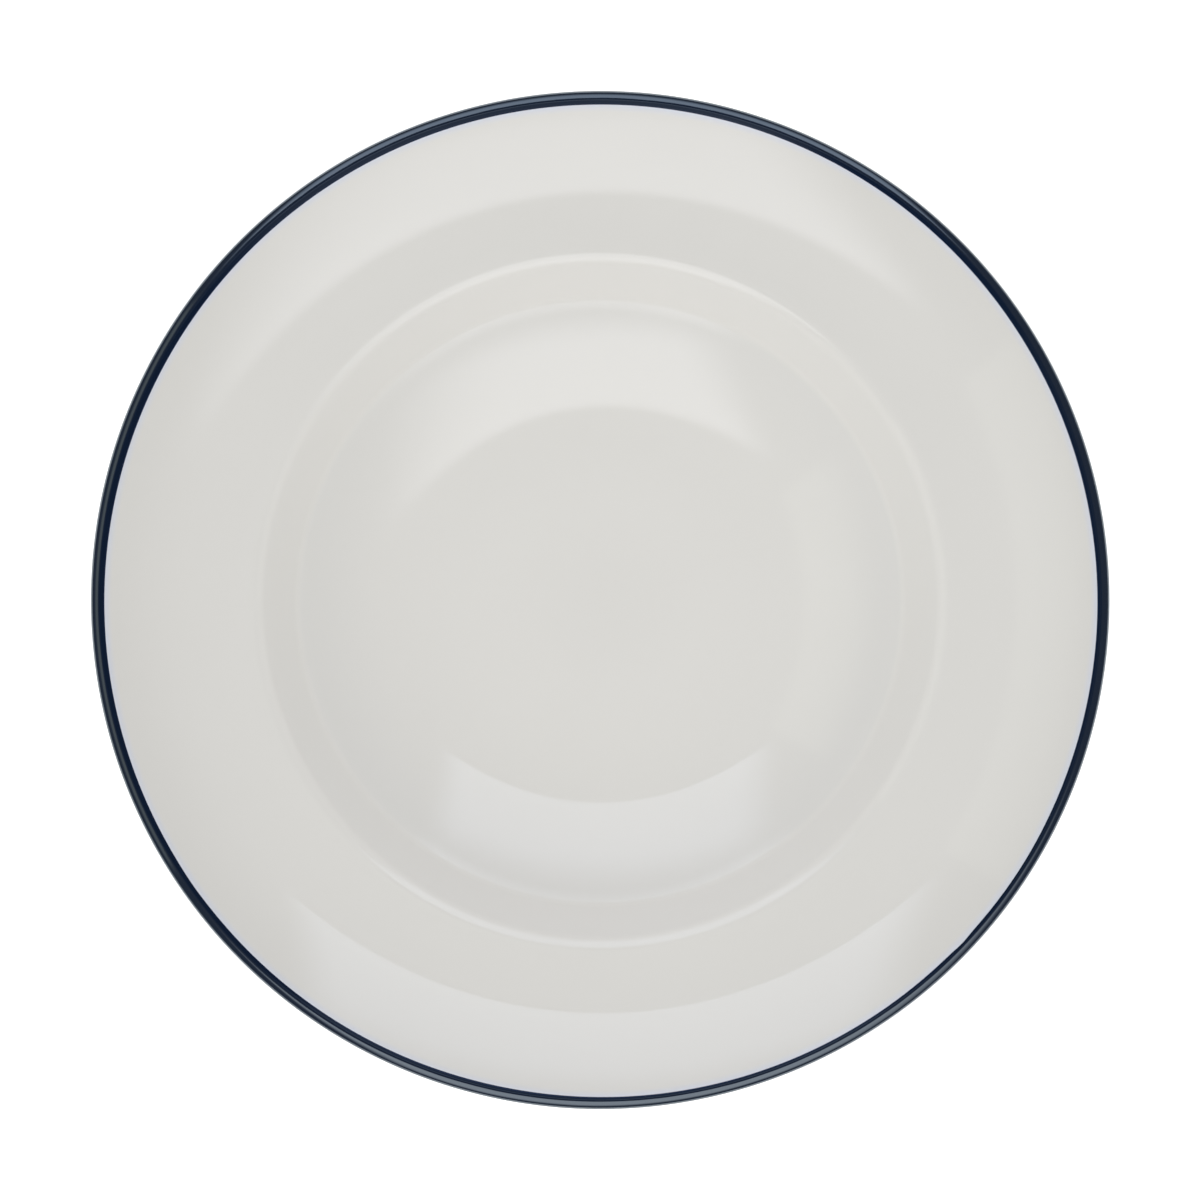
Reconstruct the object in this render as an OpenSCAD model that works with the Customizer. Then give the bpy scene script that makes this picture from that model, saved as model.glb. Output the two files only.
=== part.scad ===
// Rimmed soup plate of glazed porcelain, with a navy band fired round the lip.
// Each piece is turned about the Z axis. The face and the back are chains of arcs that meet in
// tangents, and a coat lies between such a line and the same line moved into the wall.
// The plate stands on Z = 0, and the Z axis is its own axis.

/* [Plate] */
// Diameter over the lip
plate_d = 240; // [220:1:270]
// Thickness of the glaze, and of the band that takes its place round the lip
coat_t = 0.3; // [0.15:0.05:0.5]

/* [Well] */
// Diameter of the well where its shoulder runs out into the rim
well_d = 165.6; // [150:0.2:185]
// Radius of the cove that lifts the floor into the wall
cove_r = 62; // [45:1:75]
// Slope at which the cove ends
cove_a = 29.6; // [26:0.2:34]
// Radius of the soft ridge between the cove and the wall
ridge_r = 26; // [15:1:45]
// Turn by which the slope falls over the ridge
ridge_turn = 5.5; // [1:0.5:6]
// Radius of the hollow from the ridge up to the wall
knuckle_r = 6; // [4:1:20]
// Slope of the straight wall
wall_a = 42; // [36:1:50]
// Width of the straight wall, seen from above
wall_w = 6.7; // [3:0.1:10]
// Radius of the shoulder that turns the wall out into the rim
shoulder_r = 5.6; // [3:0.1:9]

/* [Rim] */
// Width of the level land between the shoulder and the rim's curve
land_w = 3.8; // [1:0.1:8]
// Radius of the rim's hollow curve
rim_r = 64; // [54:1:100]
// Thickness of the rolled lip
lip_t = 2.6; // [2:0.1:3.4]
// Width of the navy band on the face, seen from above
band_w = 3; // [2.4:0.1:12]
// Width of the navy band on the back, seen from below
band_back_w = 2.2; // [1.6:0.1:8]

/* [Wall] */
// Thickness of the floor
floor_t = 5; // [3.5:0.1:7]
// Thickness of the straight wall
wall_t = 4.2; // [3:0.1:5.5]
// Thickness of the rim at its inner end
rim_t = 4; // [3:0.1:5]
// Radius of the back where it lifts from the floor into the wall
back_cove_r = 60; // [45:1:72]
// Radius of the bend under the shoulder
back_shoulder_r = 5; // [3:0.1:8]
// Width of the level strip on the back between that bend and the rim's curve
back_land_w = 2.6; // [1:0.1:6]

/* [Foot] */
// Outer diameter of the flat that the plate stands on
foot_d = 106; // [90:1:124]
// Width of that flat
stand_w = 2.6; // [1.5:0.1:4]
// Height of the recess inside the foot ring
recess_h = 3.8; // [3.4:0.1:6]
// Radius of the corners beside the flat
foot_corner_r = 0.8; // [0.4:0.1:1]
// Lean of the foot ring's sides from upright
foot_draft = 14; // [6:1:22]
// Radius of the fillet where the foot ring grows out of the back
foot_fillet_r = 2.5; // [1.5:0.1:3.5]
// Radius of the fillet between the foot ring and the recess
recess_fillet_r = 1.2; // [0.6:0.1:1.4]
// Height up to which the foot ring is bare of glaze
bare_h = 1.3; // [1:0.1:1.5]
// Height over which the glaze thins out to its edge
feather_h = 0.7; // [0.4:0.1:0.9]

/* [Hidden] */
$fn = 180;
// The largest turn and the longest step of one facet of an arc
facet_turn = 5;
facet_l = 2;
quarter_turn = 90;
half_turn = 180;
porcelain_white = [0.90, 0.88, 0.84];
glaze_white = [0.96, 0.96, 0.94];
band_navy = [0.13, 0.17, 0.22];

// The unit vector square to a line that climbs outwards at slope a
function normal(a) = [-sin(a), cos(a)];
// Facets in an arc of radius r that turns by the given angle
function facets(r, turn) = ceil(max(turn / facet_turn, turn * r * PI / half_turn / facet_l));
// Points of an arc round c between two slopes. The radius is negative where the centre lies above.
function arc(c, r, from_a, to_a) =
    let (n = facets(abs(r), abs(to_a - from_a)))
    [for (i = [0:n]) c + r * normal(from_a + (to_a - from_a) * i / n)];
function reversed(points) = [for (i = [len(points) - 1:-1:0]) points[i]];

// The well, from the floor's edge up to the shoulder
floor_h = recess_h + floor_t;
crease_a = cove_a - ridge_turn;
cove_w = cove_r * sin(cove_a);
ridge_w = ridge_r * (sin(cove_a) - sin(crease_a));
knuckle_w = knuckle_r * (sin(wall_a) - sin(crease_a));
shoulder_w = shoulder_r * sin(wall_a);
floor_r = well_d / 2 - shoulder_w - wall_w - knuckle_w - ridge_w - cove_w;
cove_c = [floor_r, floor_h + cove_r];
ridge_c = cove_c - (cove_r + ridge_r) * normal(cove_a);
knuckle_c = ridge_c + (ridge_r + knuckle_r) * normal(crease_a);
wall_foot = knuckle_c - knuckle_r * normal(wall_a);
wall_head = wall_foot + wall_w * [1, tan(wall_a)];
shoulder_c = wall_head - shoulder_r * normal(wall_a);

// The rim, whose curve runs into the round of the lip
land_h = shoulder_c.y + shoulder_r;
rim_c = [well_d / 2 + land_w, land_h + rim_r];
lip_r = lip_t / 2;
lip_x = plate_d / 2 - lip_r;
rim_a = asin((lip_x - rim_c.x) / (rim_r + lip_r));
lip_c = rim_c - (rim_r + lip_r) * normal(rim_a);
band_a = asin((plate_d / 2 - band_w - rim_c.x) / rim_r);

// Distance from the axis of a point at height h that lies a given way outside the wall's face
function wall_x(h, out) = wall_foot.x + (out + (h - wall_foot.y) * cos(wall_a)) / sin(wall_a);

// The back, which thins from the land's thickness to the lip
back_land_h = land_h - rim_t;
back_shoulder_h = back_land_h - back_shoulder_r;
back_shoulder_c = [wall_x(back_shoulder_h, wall_t + back_shoulder_r), back_shoulder_h];
back_rim_x = back_shoulder_c.x + back_land_w;
back_run = lip_c.x - back_rim_x;
back_rise = lip_c.y - back_land_h;
back_rim_r = (back_run ^ 2 + back_rise ^ 2 - lip_r ^ 2) / (2 * (back_rise - lip_r));
back_rim_c = [back_rim_x, back_land_h + back_rim_r];
back_rim_a = asin(back_run / (back_rim_r - lip_r));
back_band_a = asin((plate_d / 2 - band_back_w - back_rim_x) / back_rim_r);
back_cove_h = recess_h + back_cove_r;
back_cove_c = [wall_x(back_cove_h, wall_t - back_cove_r), back_cove_h];

// The foot ring. Its fillet outside rolls between the leaning side and the curved back.
foot_out_c = [foot_d / 2, foot_corner_r];
foot_in_c = [foot_d / 2 - stand_w, foot_corner_r];
side_gap = foot_corner_r + coat_t + foot_fillet_r;
foot_reach = side_gap + (foot_out_c - back_cove_c) * [cos(foot_draft), -sin(foot_draft)];
fillet_a = asin(foot_reach / (back_cove_r + foot_fillet_r)) - foot_draft;
fillet_c = back_cove_c - (back_cove_r + foot_fillet_r) * normal(fillet_a);
recess_gap = foot_corner_r + coat_t + recess_fillet_r;
recess_c_h = recess_h - recess_fillet_r;
recess_lean = (recess_c_h - foot_corner_r) * sin(foot_draft);
recess_c = [foot_in_c.x - (recess_gap + recess_lean) / cos(foot_draft), recess_c_h];

// The face from the axis to the band, at a given depth under the finished surface
function face_line(depth) = concat(
    [[0, floor_h - depth]],
    arc(cove_c, -cove_r - depth, 0, cove_a),
    arc(ridge_c, ridge_r - depth, cove_a, crease_a),
    arc(knuckle_c, -knuckle_r - depth, crease_a, wall_a),
    arc(shoulder_c, shoulder_r - depth, wall_a, 0),
    arc(rim_c, -rim_r - depth, 0, band_a)
);

// The stretch under the band, from the face over the lip to the back
function lip_line(depth) = concat(
    arc(rim_c, -rim_r - depth, band_a, rim_a),
    arc(lip_c, lip_r - depth, rim_a, 0),
    arc(lip_c, lip_r - depth, 0, -quarter_turn),
    arc(lip_c, lip_r - depth, -quarter_turn, back_rim_a - half_turn),
    arc(back_rim_c, -back_rim_r + depth, back_rim_a, back_band_a)
);

// The back from the band down to the foot ring's side
function back_line(depth) = concat(
    arc(back_rim_c, -back_rim_r + depth, back_band_a, 0),
    arc(back_shoulder_c, back_shoulder_r + depth, 0, wall_a),
    arc(back_cove_c, -back_cove_r + depth, wall_a, fillet_a),
    arc(fillet_c, foot_fillet_r + depth, fillet_a, quarter_turn - foot_draft)
);

// The bare underside of the foot ring, rounded at both corners
function foot_line() = concat(
    arc(foot_out_c, foot_corner_r, -quarter_turn - foot_draft, -half_turn),
    arc(foot_in_c, foot_corner_r, -half_turn, foot_draft - quarter_turn - half_turn)
);

// The recess, from the foot ring's inner side to the axis
function recess_line(depth) = concat(
    arc(recess_c, recess_fillet_r + depth, foot_draft - quarter_turn, 0),
    [[0, recess_h + depth]]
);

// A point at height h on a side of the foot ring, moved out from it by the thickness t.
// The way out is 1 on the outer side and -1 on the inner side.
function side_point(c, way, h, t) =
    let (out = [way * cos(foot_draft), -sin(foot_draft)])
    let (start = c + foot_corner_r * out)
    start + (h - start.y) * [way * tan(foot_draft), 1] + t * out;

// The glaze's thinning edge on one side of the foot ring, from the bare clay up
function feather_line(c, way) = [
    side_point(c, way, bare_h, 0),
    side_point(c, way, bare_h + feather_h, coat_t)
];

module turned(outline) {
    rotate_extrude() polygon(outline);
}

// The fired clay: floor, cove, wall, shoulder, rim, lip and foot ring in one piece
module porcelain_body() {
    color(porcelain_white)
        turned(concat(
            face_line(coat_t),
            lip_line(coat_t),
            back_line(coat_t),
            foot_line(),
            recess_line(coat_t)
        ));
}

// The white glaze over the whole face, up to the band
module face_glaze() {
    color(glaze_white)
        turned(concat(face_line(0), reversed(face_line(coat_t))));
}

// The navy band that wraps the lip
module rim_band() {
    color(band_navy)
        turned(concat(lip_line(0), reversed(lip_line(coat_t))));
}

// The white glaze on the back, from the band down to its thin edge on the foot ring
module back_glaze() {
    color(glaze_white)
        turned(concat(
            back_line(0),
            reversed(feather_line(foot_out_c, 1)),
            reversed(back_line(coat_t))
        ));
}

// The glaze inside the foot ring, which the bare foot parts from the coat on the back
module foot_well_glaze() {
    color(glaze_white)
        turned(concat(
            feather_line(foot_in_c, -1),
            recess_line(0),
            reversed(recess_line(coat_t))
        ));
}

porcelain_body();
face_glaze();
rim_band();
back_glaze();
foot_well_glaze();
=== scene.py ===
"""A rimmed soup plate of white glazed porcelain with a navy band round its lip, standing on a pale floor.

The sections follow the plate as it is made: the clay, the white glaze on its face, the navy band, the
glaze on its back and in its foot, and then the studio that it is photographed in. Lengths are in metres.
"""

import bpy
import numpy as np
from mathutils import Matrix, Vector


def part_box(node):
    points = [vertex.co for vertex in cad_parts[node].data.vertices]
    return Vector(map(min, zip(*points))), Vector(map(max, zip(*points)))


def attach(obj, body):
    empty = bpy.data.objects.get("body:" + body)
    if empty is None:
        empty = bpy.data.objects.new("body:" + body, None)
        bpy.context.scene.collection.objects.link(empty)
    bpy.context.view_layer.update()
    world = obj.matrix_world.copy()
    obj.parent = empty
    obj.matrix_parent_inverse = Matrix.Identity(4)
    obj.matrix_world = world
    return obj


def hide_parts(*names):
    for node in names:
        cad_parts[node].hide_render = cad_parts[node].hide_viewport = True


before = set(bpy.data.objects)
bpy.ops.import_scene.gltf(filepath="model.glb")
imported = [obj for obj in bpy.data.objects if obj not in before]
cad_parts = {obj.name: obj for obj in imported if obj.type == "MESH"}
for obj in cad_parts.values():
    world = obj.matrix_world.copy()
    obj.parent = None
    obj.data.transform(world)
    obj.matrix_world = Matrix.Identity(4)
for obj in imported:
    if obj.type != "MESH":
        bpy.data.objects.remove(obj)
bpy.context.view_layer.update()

# The porcelain body: floor, cove, wall, shoulder, rim, lip and foot ring, all in one piece of white clay.
# It is pressed in a mould and fired, then dipped in glaze. Only the ground edge that it stands on stays
# bare, so nearly all of this surface lies under the coats and only the foot shows its matt, grained clay.
mm = 0.001
coat = 0.3 * mm
well_r = 82.8 * mm
cove_r, cove_slope = 62 * mm, 29.6
ridge_r, crease_slope = 26 * mm, 24.1
knuckle_r, wall_slope, wall_w = 6 * mm, 42, 6.7 * mm
shoulder_r, land_w, rim_r = 5.6 * mm, 3.8 * mm, 64 * mm
lip_r = 1.3 * mm
floor_t, wall_t, rim_t = 5 * mm, 4.2 * mm, 4 * mm
back_cove_r, back_shoulder_r, back_land_w = 60 * mm, 5 * mm, 2.6 * mm
foot_r, stand_w, recess_h, foot_lean = 53 * mm, 2.6 * mm, 3.8 * mm, 14
foot_corner_r, foot_fillet_r, recess_fillet_r = 0.8 * mm, 2.5 * mm, 1.2 * mm
band_back_r = 117.8 * mm
band_low, band_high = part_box("rim_band")
plate_r = min(-band_low.x, band_high.x, -band_low.y, band_high.y)


def sine(slope):
    """The sine of an angle in degrees."""
    return np.sin(np.radians(slope))


def cosine(slope):
    """The cosine of an angle in degrees."""
    return np.cos(np.radians(slope))


def normal(slope):
    """The unit vector square to a line that climbs outwards at this slope: minus its sine, and its cosine."""
    return np.stack([-sine(slope), cosine(slope)], axis=-1)


def slope_of(rise):
    """The angle in degrees whose sine is rise."""
    return np.degrees(np.arcsin(rise))


floor_h = recess_h + floor_t
floor_r = (well_r - shoulder_r * sine(wall_slope) - wall_w
           - knuckle_r * (sine(wall_slope) - sine(crease_slope))
           - ridge_r * (sine(cove_slope) - sine(crease_slope)) - cove_r * sine(cove_slope))
cove_c = np.array([floor_r, floor_h + cove_r])
ridge_c = cove_c - (cove_r + ridge_r) * normal(cove_slope)
knuckle_c = ridge_c + (ridge_r + knuckle_r) * normal(crease_slope)
wall_foot = knuckle_c - knuckle_r * normal(wall_slope)
wall_head = wall_foot + wall_w * np.array([1, sine(wall_slope) / cosine(wall_slope)])
shoulder_c = wall_head - shoulder_r * normal(wall_slope)
land_h = shoulder_c[1] + shoulder_r
rim_c = np.array([well_r + land_w, land_h + rim_r])
lip_slope = slope_of((plate_r - lip_r - rim_c[0]) / (rim_r + lip_r))
lip_c = rim_c - (rim_r + lip_r) * normal(lip_slope)

turns = 480
turn = np.arange(turns) * 2 * np.pi / turns


def wall_x(height, out):
    """Distance from the axis of a point at this height, a given way outside the straight wall's face."""
    return wall_foot[0] + (out + (height - wall_foot[1]) * cosine(wall_slope)) / sine(wall_slope)


back_land_h = land_h - rim_t
back_shoulder_h = back_land_h - back_shoulder_r
back_shoulder_c = np.array([wall_x(back_shoulder_h, wall_t + back_shoulder_r), back_shoulder_h])
back_rim_x = back_shoulder_c[0] + back_land_w
back_run, back_rise = lip_c[0] - back_rim_x, lip_c[1] - back_land_h
back_rim_r = (back_run ** 2 + back_rise ** 2 - lip_r ** 2) / (2 * (back_rise - lip_r))
back_rim_c = np.array([back_rim_x, back_land_h + back_rim_r])

# The band's one mirrored streak shows that the lip slumped outwards a little in the firing: its crest lies
# 2 mm in from the edge, with a tight turn up to it from the rim and an easy round from it to the edge. The
# solids keep a plain round there, which stands 0.3 mm higher.
crest_r = 117.95 * mm
crest_in_r, crest_out_r, edge_r = 0.5 * mm, 2.9 * mm, 1.2 * mm
crest_slope = slope_of((crest_r - rim_c[0]) / (rim_r + crest_in_r))
crest_in_c = rim_c - (rim_r + crest_in_r) * normal(crest_slope)
crest_out_c = crest_in_c - np.array([0, crest_out_r - crest_in_r])
edge_slope = -slope_of((plate_r - crest_r - edge_r) / (crest_out_r - edge_r))
edge_c = crest_out_c + (crest_out_r - edge_r) * normal(edge_slope)
edge_run, edge_rise = plate_r - back_rim_x, back_rim_c[1] - edge_c[1]
under_r = (back_rim_r ** 2 - edge_run ** 2 - edge_rise ** 2) / (2 * (back_rim_r - edge_run))
under_c = np.array([plate_r - under_r, edge_c[1]])
under_slope = slope_of((under_c[0] - back_rim_x) / (back_rim_r - under_r))
waver = 0.05 * mm
back_band_slope = slope_of((band_back_r + waver * np.sin(3 * turn + 1) - back_rim_x) / back_rim_r)
back_cove_c = np.array([wall_x(recess_h + back_cove_r, wall_t - back_cove_r), recess_h + back_cove_r])
foot_out_c = np.array([foot_r, foot_corner_r])
foot_in_c = np.array([foot_r - stand_w, foot_corner_r])
foot_reach = (foot_corner_r + coat + foot_fillet_r
              + (foot_out_c - back_cove_c) @ np.array([cosine(foot_lean), -sine(foot_lean)]))
fillet_slope = slope_of(foot_reach / (back_cove_r + foot_fillet_r)) - foot_lean
fillet_c = back_cove_c - (back_cove_r + foot_fillet_r) * normal(fillet_slope)
recess_c_h = recess_h - recess_fillet_r
recess_c = np.array([foot_in_c[0] - (foot_corner_r + coat + recess_fillet_r
                                     + (recess_c_h - foot_corner_r) * sine(foot_lean)) / cosine(foot_lean),
                     recess_c_h])


def swelling(way, spread):
    """1 at this turn in degrees, sinking to nothing on both sides of it like a bell of this spread."""
    return np.exp(-((np.degrees(turn) - way) / spread) ** 2)


# The lining wheel leaves the band's inner edge a little off centre, with a nick where the brush was set
# down and a fainter one where it was lifted. So the edge is a circle moved by a sixth and a quarter of a
# millimetre, with two nicks in it, a thinner stroke next to the deeper nick and a fuller one further on.
off_x, off_y, band_inner_r = 0.16 * mm, -0.28 * mm, 116.90 * mm
nick_w, thinning_w = 0.2 * mm, 0.12 * mm
nicks = swelling(316.5, 1.3) + 0.45 * swelling(215, 3)
thinning = swelling(328, 9) - swelling(258, 13)
band_edge = (band_inner_r + off_x * np.cos(turn) + off_y * np.sin(turn) - waver * np.sin(3 * turn)
             + nick_w * nicks + thinning_w * thinning)
band_slope = slope_of((band_edge - rim_c[0]) / rim_r)

# A side that shows is drawn in fine steps, and the side under a coat in steps that hold three of them.
fine, plain = 1, 3


def arc(centre, radius, start, end, steps):
    """centre plus radius times the normal, while the slope goes evenly from start to end.

    The radius is negative where the centre lies above. start and end are one angle in degrees, or one for
    each place round the plate. The result has a row for each step and a column for each place.
    """
    share = np.linspace(0, 1, steps + 1)[:, None]
    return np.broadcast_to(centre + radius * normal(start + (end - start) * share), (steps + 1, turns, 2))


def straight(start, end, steps):
    """Points spaced evenly from start to end, both of them distance from the axis and height."""
    share = np.linspace(0, 1, steps + 1)[:, None, None]
    start, end = np.asarray(start), np.asarray(end)
    return np.broadcast_to(start + (end - start) * share, (steps + 1, turns, 2))


def chain(*parts):
    """Lines that meet end to end, joined into one without the doubled points."""
    return np.concatenate([parts[0]] + [part[1:] for part in parts[1:]])


def face_line(depth, step):
    """The face from the axis to the band, at a depth under the finished surface, with fine or plain steps."""
    cove = arc(cove_c, -cove_r - depth, 0, cove_slope, 48 // step)
    shoulder = arc(shoulder_c, shoulder_r - depth, wall_slope, 0, 30 // step)
    knuckle = arc(knuckle_c, -knuckle_r - depth, crease_slope, wall_slope, 15 // step)
    rim = arc(rim_c, -rim_r - depth, 0, band_slope, 42 // step)
    return chain(straight([0, floor_h - depth], cove[0, 0], 9 // step), cove,
                 arc(ridge_c, ridge_r - depth, cove_slope, crease_slope, 6 // step), knuckle,
                 straight(knuckle[-1, 0], shoulder[0, 0], 3 // step), shoulder,
                 straight(shoulder[-1, 0], rim[0, 0], 3 // step), rim)


def lip_line(depth, step):
    """The stretch under the band, from the face over the lip's round to the back."""
    return chain(arc(rim_c, -rim_r - depth, band_slope, crest_slope, 6 // step),
                 arc(crest_in_c, crest_in_r - depth, crest_slope, 0, 6 // step),
                 arc(crest_out_c, crest_out_r - depth, 0, edge_slope, 24 // step),
                 arc(edge_c, edge_r - depth, edge_slope, -90, 24 // step),
                 arc(under_c, under_r - depth, -90, under_slope - 180, 21 // step),
                 arc(back_rim_c, -back_rim_r + depth, under_slope, back_band_slope, 3 // step))


def back_line(depth, step):
    """The back, from the band down past the bend under the shoulder to the foot ring's leaning side."""
    bend = arc(back_shoulder_c, back_shoulder_r + depth, 0, wall_slope, 27 // step)
    cove = arc(back_cove_c, -back_cove_r + depth, wall_slope, fillet_slope, 39 // step)
    rim = arc(back_rim_c, -back_rim_r + depth, back_band_slope, 0, 39 // step)
    return chain(rim, straight(rim[-1, 0], bend[0, 0], 3 // step), bend,
                 straight(bend[-1, 0], cove[0, 0], 3 // step), cove,
                 arc(fillet_c, foot_fillet_r + depth, fillet_slope, 90 - foot_lean, 24 // step))


def recess_line(depth, step):
    """The recess, from the foot ring's inner side to the axis."""
    fillet = arc(recess_c, recess_fillet_r + depth, foot_lean - 90, 0, 24 // step)
    return chain(fillet, straight(fillet[-1, 0], [0, recess_h + depth], 9 // step))


def carried_round(outline):
    """Each row of the outline carried round the axis: x and y are its distance times the cosine and the
    sine of the turn, and z is its height."""
    out, height = outline[..., 0], outline[..., 1]
    return np.stack([out * np.cos(turn), out * np.sin(turn), height], axis=-1)


def turned(name, outline):
    """A closed skin: the outline carried round the axis. Rows that lie on the axis become one point there,
    and an outline that stays off the axis closes on itself."""
    poles = [row for row in (0, -1) if np.all(outline[row, :, 0] < 1e-9)]
    body = outline[1:-1] if poles else outline
    rows = len(body)
    ring = carried_round(body)
    tips = np.array([[0, 0, outline[row, 0, 1]] for row in poles]).reshape(-1, 3)
    points = np.concatenate([ring.reshape(-1, 3), tips])
    here = np.arange(turns)
    beside = np.roll(here, -1)
    row = np.arange(rows if not poles else rows - 1)[:, None]
    below = (row + 1) % rows
    quads = np.stack([row * turns + here, below * turns + here, below * turns + beside, row * turns + beside],
                     axis=-1).reshape(-1, 4)
    fans = np.zeros((0, 3), int)
    if poles:
        first, last = np.full(turns, rows * turns), np.full(turns, rows * turns + 1)
        end = (rows - 1) * turns
        fans = np.concatenate([np.stack([first, here, beside], axis=-1),
                               np.stack([end + here, last, end + beside], axis=-1)])
    mesh = bpy.data.meshes.new(name)
    mesh.vertices.add(len(points))
    mesh.vertices.foreach_set("co", points.ravel())
    mesh.loops.add(quads.size + fans.size)
    mesh.loops.foreach_set("vertex_index", np.concatenate([quads.ravel(), fans.ravel()]))
    mesh.polygons.add(len(quads) + len(fans))
    mesh.polygons.foreach_set("loop_start", np.concatenate(
        [np.arange(len(quads)) * 4, quads.size + np.arange(len(fans)) * 3]))
    mesh.update(calc_edges=True)
    mesh.validate()
    mesh.shade_smooth()
    mesh.set_sharp_from_angle(angle=np.radians(40))
    piece = bpy.data.objects.new(name, mesh)
    bpy.context.scene.collection.objects.link(piece)
    return piece


def finish_of(name):
    """A new material with its node tree and the shader in it that gives the surface."""
    made = bpy.data.materials.new(name)
    made.use_nodes = True
    return made, made.node_tree, made.node_tree.nodes["Principled BSDF"]


def fill(tree, node, sockets):
    """Gives each socket of a node a plain value, or a link where the value is an output."""
    for socket, value in sockets.items():
        if isinstance(value, bpy.types.NodeSocket):
            tree.links.new(value, node.inputs[socket])
        else:
            node.inputs[socket].default_value = value


def add(tree, kind, sockets=(), **settings):
    """A new node of one kind, with its settings made and its sockets filled."""
    made = tree.nodes.new(kind)
    for field, value in settings.items():
        setattr(made, field, value)
    fill(tree, made, dict(sockets))
    return made


def product_of(tree, first, second):
    """The product of two shares."""
    return add(tree, "ShaderNodeMath", {0: first, 1: second}, operation="MULTIPLY").outputs[0]


def span_of(tree, share, low, high):
    """The number that goes evenly from low to high as share goes from 0 to 1."""
    return add(tree, "ShaderNodeMapRange", {0: share, 3: low, 4: high}).outputs[0]


def blend_of(tree, share, low, high):
    """The colour that goes from low to high as share goes from 0 to 1."""
    return add(tree, "ShaderNodeMix", {0: share, 6: low, 7: high}, data_type="RGBA").outputs[2]


def ramp_of(tree, value, start, end):
    """The share that goes smoothly from 0 to 1 as value goes from start to end, which may be the lower."""
    return add(tree, "ShaderNodeMapRange", {0: value, 1: start, 2: end},
               interpolation_type="SMOOTHSTEP").outputs[0]


def noise_of(tree, place, scale, detail=2.0, rough=0.5):
    """Cloudy variation round a half, with so many swings to the metre."""
    return add(tree, "ShaderNodeTexNoise", {"Vector": place, "Scale": scale, "Detail": detail,
                                            "Roughness": rough}).outputs["Fac"]


def axis_distance(tree, place, x=0.0, y=0.0):
    """Distance from an upright line through x, y: the length of the place with its height left out."""
    flat = add(tree, "ShaderNodeVectorMath", {0: place, 1: (1, 1, 0)}, operation="MULTIPLY").outputs[0]
    moved = add(tree, "ShaderNodeVectorMath", {0: flat, 1: (x, y, 0)}, operation="SUBTRACT").outputs[0]
    return add(tree, "ShaderNodeVectorMath", {0: moved}, operation="LENGTH").outputs["Value"]


# The glaze was wiped off the foot up to a wavering line.
bare_top = 1.3 * mm + 0.12 * mm * np.sin(5 * turn) + 0.08 * mm * np.sin(11 * turn + 2)
foot_side = np.concatenate([arc(foot_out_c, foot_corner_r, -90 - foot_lean, -180, 24),
                            arc(foot_in_c, foot_corner_r, -180, foot_lean - 270, 24)])
porcelain = turned("porcelain_foot_and_body", np.concatenate(
    [face_line(coat, plain), lip_line(coat, plain)[1:], back_line(coat, plain)[1:], foot_side,
     recess_line(coat, plain)]))

clay, clay_tree, clay_shader = finish_of("bare_fired_porcelain")
place = add(clay_tree, "ShaderNodeTexCoord").outputs["Object"]
out_from_axis = axis_distance(clay_tree, place)
height = add(clay_tree, "ShaderNodeSeparateXYZ", {0: place}).outputs["Z"]
fired_clay, paler_clay = (0.73, 0.69, 0.60, 1), (0.80, 0.77, 0.70, 1)
darker_grain, rubbed_dirt = (0.60, 0.55, 0.46, 1), (0.36, 0.35, 0.33, 1)
clay_relief = 0.03 * mm
clouds = noise_of(clay_tree, place, 90.0, 3.0)
grains = noise_of(clay_tree, place, 3200.0, 2.0, 0.7)
fired = blend_of(clay_tree, clouds, fired_clay, paler_clay)
grained = blend_of(clay_tree, ramp_of(clay_tree, grains, 0.58, 0.78), fired, darker_grain)
ring_place = add(clay_tree, "ShaderNodeCombineXYZ", {0: out_from_axis, 2: height}).outputs[0]
ground_rings = noise_of(clay_tree, ring_place, 5200.0, 1.0)
flat_of_foot = ramp_of(clay_tree, height, 0.5 * mm, 0.05 * mm)
scuff_place = add(clay_tree, "ShaderNodeVectorMath", {0: place, 1: ring_place}, operation="ADD").outputs[0]
scuffs = ramp_of(clay_tree, noise_of(clay_tree, scuff_place, 260.0, 4.0, 0.7), 0.57, 0.72)
worn = product_of(clay_tree, scuffs, flat_of_foot)
soiled = product_of(clay_tree, worn, 0.55)
grain_bump = add(clay_tree, "ShaderNodeBump", {"Strength": 0.6, "Distance": clay_relief, "Height": grains})
ring_bump = add(clay_tree, "ShaderNodeBump", {"Strength": flat_of_foot, "Distance": clay_relief,
                                              "Height": ground_rings, "Normal": grain_bump.outputs[0]})
fill(clay_tree, clay_shader, {"Base Color": blend_of(clay_tree, soiled, grained, rubbed_dirt),
                              "Roughness": span_of(clay_tree, worn, 0.86, 0.55), "IOR": 1.5,
                              "Normal": ring_bump.outputs[0]})
porcelain.data.materials.append(clay)
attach(porcelain, "root")
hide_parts("porcelain_body")

# The glaze on the face: clear, white and very glossy, flowed on over the clay from the middle of the floor
# up to the band. Its white carries painted light and shade: darker on the rim than in the well, darker and
# cooler over the outer cove, where the glaze also pools, lighter and warmer up the wall and greyer towards
# the lip. The band's cobalt has bled a faint blue into its last millimetre.
face = turned("face_glaze_coat", np.concatenate([face_line(0, fine), face_line(coat, plain)[::-1]]))

# The rim's whites and the pooled white are darker for painted shade, the wall's white is lighter for painted
# light, and the lip's white is greyer for painted shade.
floor_white, well_whites = (0.808, 0.796, 0.757, 1), ((0.813, 0.801, 0.762, 1), (0.829, 0.817, 0.778, 1))
rim_shaded_whites, pooled_and_shaded_white = ((0.780, 0.769, 0.731, 1), (0.796, 0.785, 0.747, 1)), (0.801, 0.792, 0.757, 1)
painted_wall_light_white, lip_shade_white = (0.850, 0.836, 0.792, 1), (0.735, 0.724, 0.686, 1)
speck_brown, haze_blue = (0.42, 0.36, 0.28, 1), (0.69, 0.73, 0.835, 1)
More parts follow.
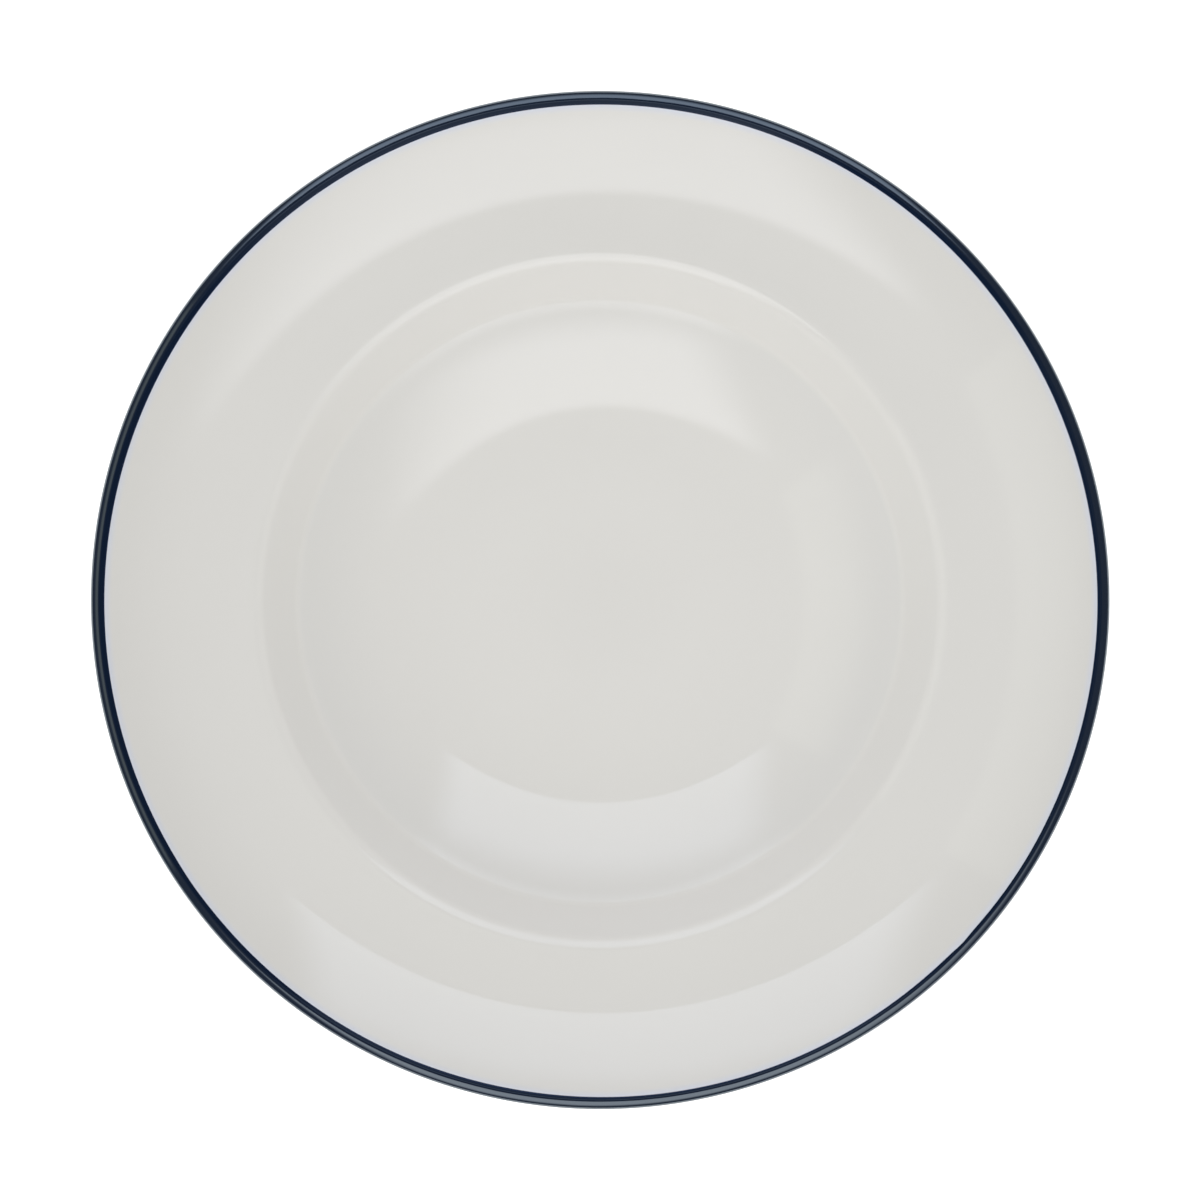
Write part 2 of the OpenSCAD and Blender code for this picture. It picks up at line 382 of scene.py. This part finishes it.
# Distances from the axis between which the white changes.
floor_end, pool_shade_start, pool_shade_end = 26 * mm, 50 * mm, 70 * mm
wall_in, wall_on, wall_off, wall_out = 70.4 * mm, 72.2 * mm, 79.8 * mm, 81.7 * mm
wall_light_start, wall_light_end, lip_start, lip_end = 71 * mm, 79 * mm, 97 * mm, 116.5 * mm


def white_glaze(name, haze_start, haze_end, haze_x=0.0, haze_y=0.0):
    """The plate's white glaze. A blue haze sets in from haze_start to haze_end, both measured from the
    upright line through haze_x, haze_y."""
    made, tree, shader = finish_of(name)
    place = add(tree, "ShaderNodeTexCoord").outputs["Object"]
    out = axis_distance(tree, place)
    clouds = noise_of(tree, place, 34.0, 2.0)
    well = blend_of(tree, ramp_of(tree, out, 0.0, floor_end), floor_white,
                    blend_of(tree, clouds, *well_whites))
    # The rim is painted a little darker than the well: painted shade.
    rim = blend_of(tree, clouds, *rim_shaded_whites)
    white = blend_of(tree, ramp_of(tree, out, wall_off, wall_out), well, rim)
    # Darker and cooler over the outer cove: pooled glaze with painted shade on it.
    pool_and_shade = product_of(tree, ramp_of(tree, out, pool_shade_start, pool_shade_end), ramp_of(tree, out, wall_on, wall_in))
    cove_shaded = blend_of(tree, pool_and_shade, white, pooled_and_shaded_white)
    # Lighter and warmer up the wall, most at its foot: painted light.
    painted_wall_light = product_of(tree, ramp_of(tree, out, wall_in, wall_on), ramp_of(tree, out, wall_out, wall_off))
    wall_light_fade = add(tree, "ShaderNodeMapRange", {0: out, 1: wall_light_start, 2: wall_light_end,
                                                 3: 0.85, 4: 0.28}).outputs[0]
    wall_lit = blend_of(tree, product_of(tree, painted_wall_light, wall_light_fade), cove_shaded, painted_wall_light_white)
    # Greyer towards the lip: painted shade.
    painted_lip_shade = product_of(tree, ramp_of(tree, out, lip_start, lip_end), 0.43)
    lip_shaded = blend_of(tree, painted_lip_shade, wall_lit, lip_shade_white)
    specks = add(tree, "ShaderNodeTexVoronoi", {"Vector": place, "Scale": 75.0, "Randomness": 1.0})
    rare = add(tree, "ShaderNodeSeparateXYZ", {0: specks.outputs["Color"]}).outputs["X"]
    dot = product_of(tree, ramp_of(tree, specks.outputs["Distance"], 0.016, 0.008),
                     ramp_of(tree, rare, 0.84, 0.86))
    speckled = blend_of(tree, product_of(tree, dot, 0.5), lip_shaded, speck_brown)
    haze = ramp_of(tree, axis_distance(tree, place, haze_x, haze_y), haze_start, haze_end)
    bled = product_of(tree, haze, span_of(tree, noise_of(tree, place, 240.0, 3.0), 0.5, 0.95))
    ripple = add(tree, "ShaderNodeBump", {"Strength": 1.0, "Distance": 0.0014 * mm,
                                          "Height": noise_of(tree, place, 150.0, 1.0)})
    pinholes = add(tree, "ShaderNodeBump", {"Strength": 1.0, "Distance": 0.02 * mm, "Height": dot,
                                            "Normal": ripple.outputs[0]}, invert=True)
    polish = noise_of(tree, place, 130.0, 3.0)
    fill(tree, shader, {"Base Color": blend_of(tree, bled, speckled, haze_blue),
                        "Roughness": span_of(tree, polish, 0.015, 0.040), "IOR": 1.7,
                        "Normal": pinholes.outputs[0]})
    return made


face.data.materials.append(white_glaze("white_glaze_face", 115.0 * mm, 117.0 * mm, off_x, off_y))
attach(face, "root")
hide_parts("face_glaze")

# The navy band: cobalt colour laid round the lip with a lining brush while the plate spins on a wheel, then
# fired into the glaze. It wraps the lip and ends a little way down the back. The brush leaves fine streaks
# along the stroke, and the colour thins out at its inner edge. Inside the crest it has sunk in and shines
# less.
band = turned("navy_lip_band", np.concatenate([lip_line(0, fine), lip_line(coat, plain)[::-1]]))
navy, navy_tree, navy_shader = finish_of("navy_band_glaze")
place = add(navy_tree, "ShaderNodeTexCoord").outputs["Object"]
out = axis_distance(navy_tree, place)
height = add(navy_tree, "ShaderNodeSeparateXYZ", {0: place}).outputs["Z"]
across = add(navy_tree, "ShaderNodeCombineXYZ", {0: out, 1: height}).outputs[0]
across = add(navy_tree, "ShaderNodeVectorMath", {0: across, "Scale": 40.0}, operation="SCALE").outputs[0]
along = add(navy_tree, "ShaderNodeVectorMath", {0: place, 1: across}, operation="ADD").outputs[0]
streaks = noise_of(navy_tree, along, 120.0, 3.0, 0.6)
deep_navy, paler_navy = (0.0012, 0.0060, 0.0210, 1), (0.0028, 0.0110, 0.0340, 1)
thin_navy, bluish_sheen = (0.030, 0.045, 0.110, 1), (0.82, 0.94, 1.0, 1)
deep = blend_of(navy_tree, streaks, deep_navy, paler_navy)
edge = ramp_of(navy_tree, axis_distance(navy_tree, place, off_x, off_y), band_inner_r + 0.4 * mm,
               band_inner_r - 0.1 * mm)
thin_edge = product_of(navy_tree, edge, 0.5)
past_crest = ramp_of(navy_tree, out, crest_r, crest_r + 0.25 * mm)
brushed = add(navy_tree, "ShaderNodeBump", {"Strength": 1.0, "Distance": 0.004 * mm, "Height": streaks})
fill(navy_tree, navy_shader, {"Base Color": blend_of(navy_tree, thin_edge, deep, thin_navy),
                              "Roughness": span_of(navy_tree, streaks, 0.06, 0.09), "IOR": 2.43,
                              "Specular Tint": bluish_sheen, "Normal": brushed.outputs[0],
                              "Specular IOR Level": span_of(navy_tree, past_crest, 0.13, 0.5)})
band.data.materials.append(navy)
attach(band, "root")
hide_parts("rim_band")

# The glaze on the back: the same white coat, from the band down over the rim and the wall to the foot ring,
# where it was wiped away before firing and thins out to a wavering edge over the bare clay.
feather_h = 0.7 * mm


def side_point(centre, way, height, thickness):
    """A point at this height on a side of the foot ring, moved out from it by the thickness.

    The side leaves the corner round at its tangent and leans by the foot's draft. way is 1 outside the
    ring and -1 inside. height is one value or one for each place round the plate.
    """
    out = np.array([way * cosine(foot_lean), -sine(foot_lean)])
    start = centre + foot_corner_r * out
    climb = np.array([way * sine(foot_lean) / cosine(foot_lean), 1])
    return start + (np.asarray(height)[..., None] - start[1]) * climb + thickness * out


def feather_line(centre, way, bare):
    """The glaze's thinning edge: from the bare clay to its full thickness at feather_h above it."""
    return np.stack([side_point(centre, way, bare, 0), side_point(centre, way, bare + feather_h, coat)])


back = turned("back_glaze_coat", np.concatenate(
    [back_line(0, fine), feather_line(foot_out_c, 1, bare_top)[::-1], back_line(coat, plain)[::-1]]))
back.data.materials.append(white_glaze("white_glaze_back", 117.0 * mm, 117.9 * mm))
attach(back, "root")
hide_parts("back_glaze")

# The glaze inside the foot ring: the same coat again, a shallow pool over the underside of the floor that
# the wiped foot parts from the rest. Its edge wavers at other places than the back coat's does, and its haze
# is set past the plate's edge, so that it has none.
foot_well = turned("foot_well_glaze_coat", np.concatenate(
    [recess_line(coat, plain)[::-1], feather_line(foot_in_c, -1, np.roll(bare_top, 37)),
     recess_line(0, fine)]))
foot_well.data.materials.append(white_glaze("white_glaze_foot_well", 200 * mm, 201 * mm))
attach(foot_well, "root")
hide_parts("foot_well_glaze")

# The floor: a round sweep of pale paper, flat under the plate and lifted at its far rim. Seen directly or in
# a gloss it is white, and it keeps the plate's shadow. From below it lets the view through to the foot.
paper_r, bend_r, paper_glow = 5.5, 0.5, 0.62
flat_part = [[r, 0.0] for r in np.linspace(0, paper_r, 12)]
bent_part = [[paper_r + bend_r * np.sin(a), bend_r - bend_r * np.cos(a)] for a in np.linspace(0.2, 1.4, 7)]
paper_line = np.array(flat_part + bent_part)
ring = carried_round(np.broadcast_to(paper_line[:, None], (len(paper_line), turns, 2)))
first = np.arange(len(paper_line) - 1)[:, None] * turns
here = np.arange(turns)
beside = np.roll(here, -1)
sheets = np.stack([first + here, first + turns + here, first + turns + beside, first + beside], axis=-1)
sweep_mesh = bpy.data.meshes.new("paper_sweep")
sweep_mesh.from_pydata(ring.reshape(-1, 3).tolist(), [], sheets.reshape(-1, 4).tolist())
sweep_mesh.shade_smooth()
sweep = bpy.data.objects.new("paper_sweep", sweep_mesh)
bpy.context.scene.collection.objects.link(sweep)
paper, paper_tree, plain_shader = finish_of("pale_paper")
paper_tree.nodes.remove(plain_shader)
rays = add(paper_tree, "ShaderNodeLightPath").outputs
seen = 0.0
for ray in ("Is Camera Ray", "Is Glossy Ray", "Is Transmission Ray"):
    seen = add(paper_tree, "ShaderNodeMath", {0: seen, 1: rays[ray]}, operation="MAXIMUM").outputs[0]
lift = product_of(paper_tree, seen, paper_glow)
glow = add(paper_tree, "ShaderNodeEmission", {"Color": (1, 1, 1, 1), "Strength": lift})
matt = add(paper_tree, "ShaderNodeBsdfDiffuse", {"Color": (0.80, 0.80, 0.80, 1)})
lit = add(paper_tree, "ShaderNodeAddShader", {0: glow.outputs[0], 1: matt.outputs[0]})
below = add(paper_tree, "ShaderNodeNewGeometry").outputs["Backfacing"]
through = add(paper_tree, "ShaderNodeBsdfTransparent")
paper_shader = add(paper_tree, "ShaderNodeMixShader", {0: below, 1: lit.outputs[0], 2: through.outputs[0]})
paper_tree.links.new(paper_shader.outputs[0], paper_tree.nodes["Material Output"].inputs["Surface"])
sweep_mesh.materials.append(paper)

# The studio light: two softboxes, one over each side of the table, a dim panel on the left, silks overhead
# and low on all sides, and a dim even room that shows white where the camera sees it past the paper. The
# plate mirrors the softboxes as two crescents in the well and two on the rim.


def softbox(name, near, far, width, radiance, colour, fall, rise=0.0, right_fade=0.0, left_fade=0.0):
    """A rectangular lamp that reaches from the middle of its near edge to the middle of its far edge and
    faces the plate. Its light comes up over the share rise of its length, is even, and fades out from the
    share fall to the far edge. At its two sides it fades over right_fade and left_fade of its width."""
    near, far = np.array(near, float), np.array(far, float)
    length = np.linalg.norm(far - near)
    down_it = (far - near) / length
    middle = (near + far) / 2
    facing = -middle + (middle @ down_it) * down_it
    facing /= np.linalg.norm(facing)
    side = np.cross(down_it, -facing)
    lamp = bpy.data.lights.new(name, "AREA")
    lamp.shape = "RECTANGLE"
    lamp.size, lamp.size_y = width, length
    lamp.energy = radiance * np.pi * width * length
    lamp.color = colour
    made = bpy.data.objects.new(name, lamp)
    made.matrix_world = Matrix(np.array([[*side, 0], [*down_it, 0], [*-facing, 0], [*middle, 1]]).T)
    made.visible_camera = False
    bpy.context.scene.collection.objects.link(made)
    lamp.use_nodes = True
    tree = lamp.node_tree
    spot = add(tree, "ShaderNodeNewGeometry").outputs["Parametric"]
    spot = add(tree, "ShaderNodeSeparateXYZ", {0: spot}).outputs
    share = 1.0
    for low, high, axis in ((0, rise, "Y"), (1, fall, "Y"), (0, right_fade, "X"), (1, 1 - left_fade, "X")):
        if low != high:
            share = product_of(tree, share, ramp_of(tree, spot[axis], low, high))
    tree.links.new(share, tree.nodes["Emission"].inputs["Strength"])


softbox("softbox_behind", near=(-0.08, 0.790, 2.5), far=(-0.01, 1.245, 0.66), width=1.85, radiance=0.865,
        colour=(0.915, 1.0, 1.19), fall=0.62, right_fade=0.20, left_fade=0.13)
softbox("softbox_in_front", near=(0.14, -0.428, 2.5), far=(0.32, -1.593, 0.98), width=2.48, radiance=1.10,
        colour=(0.99, 0.99, 1.04), rise=0.14, fall=0.66, right_fade=0.45, left_fade=0.24)
softbox("dim_panel_left", near=(-0.74, 0.115, 2.5), far=(-0.74, 0.042, 0.6), width=0.99, radiance=0.29,
        colour=(0.98, 1.0, 0.86), rise=0.12, fall=0.75)


def silk(name, way, lift, spread, strength, colour):
    """Soft light with no edge that the glaze could mirror. It comes from the turn way round the plate and
    the angle lift above the floor, and is spread evenly over a cone, all three in degrees."""
    lamp = bpy.data.lights.new(name, "SUN")
    lamp.angle, lamp.energy, lamp.color = np.radians(spread), strength, colour
    made = bpy.data.objects.new(name, lamp)
    made.rotation_euler = (0, np.radians(90 - lift), np.radians(way))
    made.visible_glossy = False
    bpy.context.scene.collection.objects.link(made)


silk("silk_overhead", way=0, lift=90, spread=178, strength=0.835, colour=(1.02, 1.0, 0.72))
for name, way, strength, colour in (("low_silk_behind", 90, 0.655, (1.034, 1.0, 1.232)),
                                    ("low_silk_in_front", 270, 0.950, (1.008, 1.0, 1.151)),
                                    ("low_silk_left", 180, 0.473, (0.975, 1.0, 1.181)),
                                    ("low_silk_right", 0, 0.335, (0.977, 1.0, 1.218))):
    silk(name, way, lift=25, spread=50, strength=strength, colour=colour)

room_glow = 0.09
room = bpy.data.worlds.new("even_room")
room.use_nodes = True
direct = add(room.node_tree, "ShaderNodeLightPath").outputs["Is Camera Ray"]
shown = add(room.node_tree, "ShaderNodeMath", {0: direct, 1: room_glow}, operation="MAXIMUM").outputs[0]
fill(room.node_tree, room.node_tree.nodes["Background"], {"Color": (1.0, 1.0, 1.0, 1), "Strength": shown})
bpy.context.scene.world = room

# The camera: over the table, looking straight down but for a lean of one and a half degrees towards its
# lower edge, through a long lens that holds 282.5 mm of the table at the height of the lip.
lean, camera_way, lip_top = np.radians(1.5), 5.0, 35 * mm
view_w, aim_x, aim_y = 282.5 * mm, -0.05 * mm, -0.11 * mm
eye = bpy.data.cameras.new("table_camera")
eye.sensor_width = 36
eye.lens = eye.sensor_width * camera_way / view_w
eye.clip_end = 50
camera = bpy.data.objects.new("table_camera", eye)
camera.location = (aim_x, aim_y - camera_way * np.sin(lean), lip_top + camera_way * np.cos(lean))
camera.rotation_euler = (lean, 0, 0)
bpy.context.scene.collection.objects.link(camera)
bpy.context.scene.camera = camera
bpy.context.scene.view_settings.view_transform = "Standard"
